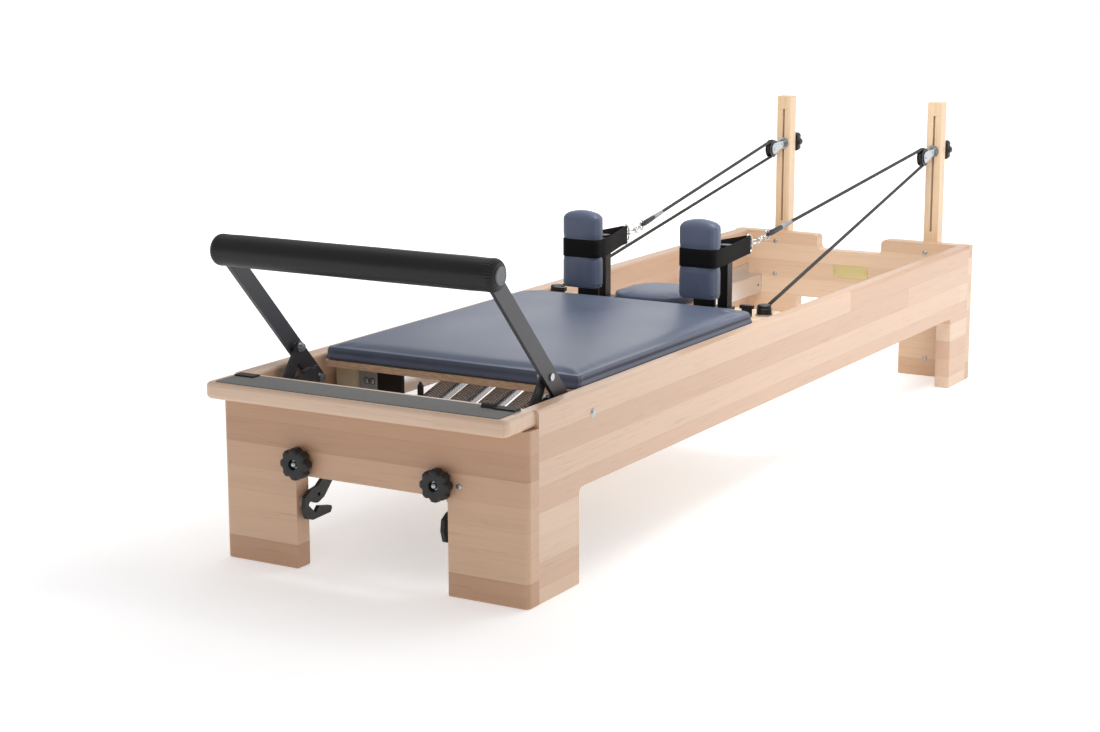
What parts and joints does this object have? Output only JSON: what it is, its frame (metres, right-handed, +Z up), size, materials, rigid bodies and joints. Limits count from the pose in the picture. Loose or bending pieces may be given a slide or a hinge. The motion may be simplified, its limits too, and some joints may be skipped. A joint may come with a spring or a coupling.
{
  "type": "pilates reformer",
  "caption": "Low timber exercise frame with a padded sliding carriage on rails, resistance springs, a hinged padded footbar, shoulder rests and hand ropes over upright pulley posts.",
  "frame": {"origin": "centre of the bounding box at floor level", "axes": "+Y runs along the frame from the footbar end to the pulley end, +X to the right of someone who looks that way, +Z up"},
  "size_m": [0.6802, 2.4214, 0.722],
  "materials": {
    "maple": "clear satin lacquer",
    "plywood": "sanded, clear lacquer",
    "vinyl": "soft grained vinyl",
    "roll_foam": "satin black vinyl",
    "dark_steel": "satin powder coat",
    "black_steel": "satin black paint",
    "grey_steel": "satin grey paint",
    "track_aluminium": "satin anodised",
    "chrome_spring": "polished",
    "zinc_steel": "bright zinc plated",
    "knob_plastic": "moulded black",
    "grip_rubber": "fine non-slip texture",
    "bumper_rubber": "matte black",
    "webbing": "woven nylon",
    "rope": "braided polyester",
    "guide_nylon": "beige nylon",
    "wheel_urethane": "smooth",
    "plate_brass": "brushed, lacquered",
    "sleeve_vinyl": "heat-shrunk sleeve"
  },
  "bodies": {
    "frame": {"foot_end_board": "maple", "head_end_board": "maple", "left_side_rail": "maple", "right_side_rail": "maple", "standing_platform": "maple", "grip_strip": "grip_rubber", "footbar_bumpers": "bumper_rubber", "tracks": "track_aluminium", "pulley_risers": "maple", "frame_screws": "zinc_steel", "name_plate": "plate_brass", "gear_brackets": "black_steel", "spring_bar": "zinc_steel", "center_post": "black_steel", "spring_1": "chrome_spring", "spring_2": "chrome_spring", "spring_3": "chrome_spring", "spring_4": "chrome_spring", "footbar_racks": "dark_steel", "pivot_bolts": "zinc_steel", "eyebolts": "zinc_steel", "pulley_cheeks": "zinc_steel", "carriage_stops": "bumper_rubber"},
    "carriage": {"carriage_board": "plywood", "carriage_cushion": "vinyl", "wheel_brackets": "grey_steel", "wheel_axles": "zinc_steel", "guide_blocks": "guide_nylon", "stop_plate": "black_steel", "spring_anchor": "grey_steel", "shoulder_brackets": "black_steel", "shoulder_pads": "vinyl", "strap_loops": "webbing", "d_rings": "zinc_steel", "snap_hooks": "zinc_steel", "rope_sleeves": "sleeve_vinyl", "reel_rings": "zinc_steel", "rope_reels": "knob_plastic", "rope_cleats": "knob_plastic", "headrest_hinge": "grey_steel", "left_rope": "rope", "right_rope": "rope"},
    "headrest": {"headrest_board": "plywood", "headrest_pad": "vinyl"},
    "footbar": {"footbar_arms": "dark_steel", "footbar_tube": "black_steel", "footbar_roll": "roll_foam", "strut_bolts": "zinc_steel"},
    "left_strut": {"left_strut": "dark_steel"},
    "right_strut": {"right_strut": "dark_steel"},
    "left_foot_knob": {"left_foot_knob": "knob_plastic"},
    "left_riser_knob": {"left_riser_knob": "knob_plastic"},
    "left_sheave": {"left_sheave": "knob_plastic"},
    "right_foot_knob": {"right_foot_knob": "knob_plastic"},
    "right_riser_knob": {"right_riser_knob": "knob_plastic"},
    "right_sheave": {"right_sheave": "knob_plastic"},
    "foot_left_wheel": {"foot_left_wheel": "wheel_urethane"},
    "foot_right_wheel": {"foot_right_wheel": "wheel_urethane"},
    "head_left_wheel": {"head_left_wheel": "wheel_urethane"},
    "head_right_wheel": {"head_right_wheel": "wheel_urethane"}
  },
  "joints": [
    {"name": "carriage_slide", "type": "slide", "parent": "frame", "child": "carriage", "axis": [0, 1, 0], "range_m": [0, 0.7], "stiffness_N_per_m": 300, "springref_m": -0.25, "deforming": ["spring_1", "spring_2", "spring_3", "spring_4", "left_rope", "right_rope"]},
    {"name": "headrest_tilt", "type": "hinge", "parent": "carriage", "child": "headrest", "pos_m": [0, -0.08128, 0.352], "axis": [1, 0, 0], "range_deg": [0, 30]},
    {"name": "footbar_pivot", "type": "hinge", "parent": "frame", "child": "footbar", "pos_m": [0, -0.90928, 0.313], "axis": [-1, 0, 0], "range_deg": [-28.5, 43]},
    {"name": "left_strut_pivot", "type": "hinge", "parent": "footbar", "child": "left_strut", "pos_m": [-0.2745, -0.98021, 0.38906], "axis": [-1, 0, 0], "range_deg": [-44, 29.5]},
    {"name": "left_foot_knob_spin", "type": "hinge", "parent": "frame", "child": "left_foot_knob", "pos_m": [-0.155, -1.15628, 0.21], "axis": [0, 1, 0], "continuous": true},
    {"name": "left_riser_knob_spin", "type": "hinge", "parent": "frame", "child": "left_riser_knob", "pos_m": [-0.215, 1.19872, 0.595], "axis": [0, 1, 0], "continuous": true},
    {"name": "left_sheave_spin", "type": "hinge", "parent": "frame", "child": "left_sheave", "pos_m": [-0.215, 1.06872, 0.587], "axis": [1, 0, 0], "continuous": true},
    {"name": "right_strut_pivot", "type": "hinge", "parent": "footbar", "child": "right_strut", "pos_m": [0.2745, -0.98021, 0.38906], "axis": [-1, 0, 0], "range_deg": [-44, 29.5]},
    {"name": "right_foot_knob_spin", "type": "hinge", "parent": "frame", "child": "right_foot_knob", "pos_m": [0.155, -1.15628, 0.21], "axis": [0, 1, 0], "continuous": true},
    {"name": "right_riser_knob_spin", "type": "hinge", "parent": "frame", "child": "right_riser_knob", "pos_m": [0.215, 1.19872, 0.595], "axis": [0, 1, 0], "continuous": true},
    {"name": "right_sheave_spin", "type": "hinge", "parent": "frame", "child": "right_sheave", "pos_m": [0.215, 1.06872, 0.587], "axis": [1, 0, 0], "continuous": true},
    {"name": "foot_left_wheel_spin", "type": "hinge", "parent": "carriage", "child": "foot_left_wheel", "pos_m": [-0.274, -0.77128, 0.2663], "axis": [-1, 0, 0], "range_deg": [-10, 1345]},
    {"name": "foot_right_wheel_spin", "type": "hinge", "parent": "carriage", "child": "foot_right_wheel", "pos_m": [0.274, -0.77128, 0.2663], "axis": [-1, 0, 0], "range_deg": [-10, 1345]},
    {"name": "head_left_wheel_spin", "type": "hinge", "parent": "carriage", "child": "head_left_wheel", "pos_m": [-0.274, -0.04828, 0.2663], "axis": [-1, 0, 0], "range_deg": [-10, 1345]},
    {"name": "head_right_wheel_spin", "type": "hinge", "parent": "carriage", "child": "head_right_wheel", "pos_m": [0.274, -0.04828, 0.2663], "axis": [-1, 0, 0], "range_deg": [-10, 1345]}
  ],
  "couplings": [
    {"joint": "left_strut_pivot", "follows": "footbar_pivot", "ratio": -1},
    {"joint": "right_strut_pivot", "follows": "footbar_pivot", "ratio": -1},
    {"joint": "foot_left_wheel_spin", "follows": "carriage_slide", "rad_per_m": 33.333},
    {"joint": "foot_right_wheel_spin", "follows": "carriage_slide", "rad_per_m": 33.333},
    {"joint": "head_left_wheel_spin", "follows": "carriage_slide", "rad_per_m": 33.333},
    {"joint": "head_right_wheel_spin", "follows": "carriage_slide", "rad_per_m": 33.333}
  ]
}
